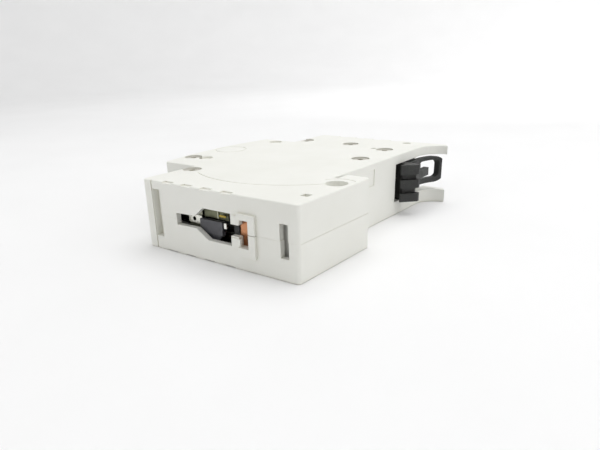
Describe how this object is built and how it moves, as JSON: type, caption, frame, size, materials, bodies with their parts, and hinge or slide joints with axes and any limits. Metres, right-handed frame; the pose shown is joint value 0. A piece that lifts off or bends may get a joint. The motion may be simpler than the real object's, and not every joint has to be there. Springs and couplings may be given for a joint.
{
  "type": "miniature circuit breaker",
  "caption": "Slim single-pole circuit breaker for a top-hat rail, with stepped nose, toggle, end terminals and a sliding rail latch.",
  "frame": {"origin": "middle of the rail seat, half way across the module", "axes": "+X to the front and toggle, +Y to the upper end with the fixed jaw, +Z across the module"},
  "size_m": [0.0697, 0.0814, 0.0176],
  "materials": {
    "housing": "fine-textured moulded polyamide",
    "toggle": "smooth moulded polyamide",
    "latch": "glass-filled polyamide",
    "guard": "moulded polyamide",
    "mechanism": "moulded thermoset",
    "fibre": "vulcanised fibre",
    "steel": "zinc plated",
    "rivet": "nickel plated",
    "screw": "black passivated",
    "copper": "bare copper",
    "silver": "silver alloy",
    "bimetal": "rolled bimetal"
  },
  "bodies": {
    "housing": {"base_shell": "housing", "cover_shell": "housing", "case_rivets": "rivet", "toggle_pin": "steel", "contact_pin": "steel", "trip_pin": "steel", "solenoid_yoke": "steel", "coil_former": "mechanism", "solenoid_coil": "copper", "pole_core": "steel", "plunger_spring": "steel", "fixed_contact_strip": "copper", "fixed_contact_tip": "silver", "arc_splitter_plates": "steel", "arc_chute_cheeks": "fibre", "arc_runner": "copper", "bimetal_strip": "bimetal", "bimetal_bracket": "steel", "calibration_screw": "steel", "contact_braid": "copper", "upper_terminal_bar": "copper", "lower_terminal_bar": "copper", "latch_spring": "steel"},
    "toggle": {"toggle_lever": "toggle", "toggle_spring": "steel"},
    "link": {"toggle_link": "steel"},
    "contact": {"contact_carrier": "mechanism", "contact_arm": "copper", "moving_contact_tip": "silver", "contact_spring": "steel"},
    "trip": {"trip_lever": "mechanism"},
    "plunger": {"plunger": "steel"},
    "upper_screw": {"upper_terminal_screw": "screw"},
    "upper_clamp": {"upper_terminal_cage": "steel", "upper_wire_guard": "guard"},
    "lower_screw": {"lower_terminal_screw": "screw"},
    "lower_clamp": {"lower_terminal_cage": "steel", "lower_wire_guard": "guard"},
    "latch": {"din_latch": "latch"}
  },
  "joints": [
    {"name": "toggle_hinge", "type": "hinge", "parent": "housing", "child": "toggle", "pos_m": [0.047, 0.001, 0], "axis": [0, 0, 1], "range_deg": [0, 80]},
    {"name": "link_hinge", "type": "hinge", "parent": "toggle", "child": "link", "pos_m": [0.04446, 0.00154, 0], "axis": [0, 0, 1], "range_deg": [-93, 1]},
    {"name": "contact_hinge", "type": "hinge", "parent": "housing", "child": "contact", "pos_m": [0.0335, -0.006, 0], "axis": [0, 0, 1], "range_deg": [-20.5, 0.5], "deforming": ["contact_braid"]},
    {"name": "trip_hinge", "type": "hinge", "parent": "housing", "child": "trip", "pos_m": [0.0375, -0.013, 0], "axis": [0, 0, 1], "range_deg": [0, 10]},
    {"name": "plunger_slide", "type": "slide", "parent": "housing", "child": "plunger", "axis": [0, -1, 0], "range_m": [0, 0.0022], "stiffness_N_per_m": 20, "springref_m": -0.001, "deforming": ["plunger_spring"]},
    {"name": "upper_screw_turn", "type": "hinge", "parent": "housing", "child": "upper_screw", "pos_m": [0.02, 0.0363, 0], "axis": [1, 0, 0], "range_deg": [0, 1805]},
    {"name": "upper_clamp_slide", "type": "slide", "parent": "housing", "child": "upper_clamp", "axis": [1, 0, 0], "range_m": [0, 0.004]},
    {"name": "lower_screw_turn", "type": "hinge", "parent": "housing", "child": "lower_screw", "pos_m": [0.02, -0.0313, 0], "axis": [1, 0, 0], "range_deg": [0, 1625]},
    {"name": "lower_clamp_slide", "type": "slide", "parent": "housing", "child": "lower_clamp", "axis": [1, 0, 0], "range_m": [0, 0.0036]},
    {"name": "latch_slide", "type": "slide", "parent": "housing", "child": "latch", "axis": [0, -1, 0], "range_m": [0, 0.0038], "stiffness_N_per_m": 200, "springref_m": -0.002, "deforming": ["latch_spring"]}
  ],
  "couplings": [
    {"joint": "link_hinge", "follows": "toggle_hinge", "ratio": -1.15},
    {"joint": "contact_hinge", "follows": "toggle_hinge", "ratio": -0.2475},
    {"joint": "trip_hinge", "follows": "plunger_slide", "rad_per_m": 77},
    {"joint": "upper_screw_turn", "follows": "upper_clamp_slide", "rad_per_m": 7854},
    {"joint": "lower_screw_turn", "follows": "lower_clamp_slide", "rad_per_m": 7854}
  ]
}
